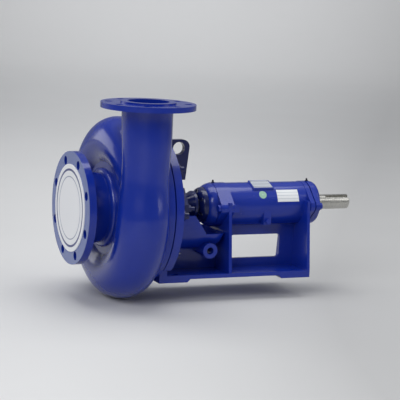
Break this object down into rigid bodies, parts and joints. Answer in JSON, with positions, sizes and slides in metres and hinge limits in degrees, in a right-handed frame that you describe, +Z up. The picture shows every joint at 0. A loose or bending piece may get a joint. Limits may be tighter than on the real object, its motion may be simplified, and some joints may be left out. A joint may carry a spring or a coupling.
{
  "type": "slurry pump",
  "caption": "Horizontal end-suction slurry pump: volute casing with upright nozzle, packed gland over a drip trough, foot-mounted bearing frame and bare drive shaft.",
  "frame": {"origin": "centre of the suction flange's face, on the shaft axis", "axes": "+X along the shaft from the suction flange to the drive end, +Z up along the discharge nozzle, -Y the side that the nozzle stands on"},
  "size_m": [0.773, 0.5015, 0.5094],
  "materials": {
    "blue_paint": "glossy royal-blue enamel over cast iron",
    "navy_paint": "glossy dark-blue enamel over cast iron",
    "navy_steel": "steel fasteners painted over with the casing",
    "dark_iron": "dark primed iron",
    "white_iron": "as-cast high-chrome white iron",
    "bright_steel": "turned bright steel",
    "bearing_steel": "ground bearing steel",
    "nipple_steel": "zinc-plated, dulled",
    "plate_metal": "satin aluminium, blank",
    "bronze": "turned bronze",
    "packing": "greased braided packing",
    "fibre": "compressed fibre sheet",
    "rubber": "moulded nitrile rubber",
    "white_plastic": null
  },
  "bodies": {
    "frame": {"bearing_pedestal": "blue_paint", "casing_gasket": "fibre", "casing_nuts": "navy_steel", "casing_studs": "navy_steel", "front_bearing_cover": "blue_paint", "front_bearing_outer_ring": "bearing_steel", "front_cover_bolts": "blue_paint", "front_lip_seal": "rubber", "front_seal_retainer": "navy_paint", "gland_studs": "bright_steel", "grease_nipples": "nipple_steel", "housing_drain_plug": "blue_paint", "lantern_ring": "bronze", "lifting_lug": "navy_paint", "neck_bush": "bronze", "packing_rings": "packing", "rating_plate": "plate_metal", "rear_bearing_cover": "blue_paint", "rear_bearing_outer_ring": "bearing_steel", "rear_cover_bolts": "blue_paint", "rear_lip_seal": "rubber", "retainer_bolts": "navy_steel", "stuffing_box_cover": "dark_iron", "volute_casing": "blue_paint"},
    "rotor": {"impeller": "white_iron", "impeller_nut": "bright_steel", "impeller_key": "bright_steel", "shaft": "bright_steel", "sleeve_gasket": "fibre", "shaft_sleeve": "bright_steel", "shaft_flinger": "rubber", "front_bearing_inner_ring": "bearing_steel", "rear_bearing_inner_ring": "bearing_steel", "lock_washer": "bearing_steel", "bearing_lock_nut": "bearing_steel"},
    "front_roller_set": {"front_rollers": "bearing_steel", "front_cage": "bearing_steel"},
    "rear_ball_set": {"rear_balls": "bearing_steel", "rear_cage": "bearing_steel"},
    "gland": {"gland_follower": "dark_iron", "gland_nuts": "bright_steel"},
    "face_cover": {"suction_face_cover": "white_plastic"}
  },
  "joints": [
    {"name": "rotor_spin", "type": "hinge", "parent": "frame", "child": "rotor", "pos_m": [0.3, 0, 0], "axis": [1, 0, 0], "continuous": true},
    {"name": "front_roller_orbit", "type": "hinge", "parent": "frame", "child": "front_roller_set", "pos_m": [0.4185, 0, 0], "axis": [1, 0, 0], "continuous": true},
    {"name": "rear_ball_orbit", "type": "hinge", "parent": "frame", "child": "rear_ball_set", "pos_m": [0.608, 0, 0], "axis": [1, 0, 0], "continuous": true},
    {"name": "gland_adjust", "type": "slide", "parent": "frame", "child": "gland", "axis": [1, 0, 0], "range_m": [0, 0.01]},
    {"name": "face_cover_lift", "type": "slide", "parent": "frame", "child": "face_cover", "axis": [-1, 0, 0], "range_m": [0, 0.15]}
  ],
  "couplings": [
    {"joint": "front_roller_orbit", "follows": "rotor_spin", "ratio": 0.4},
    {"joint": "rear_ball_orbit", "follows": "rotor_spin", "ratio": 0.38769}
  ]
}
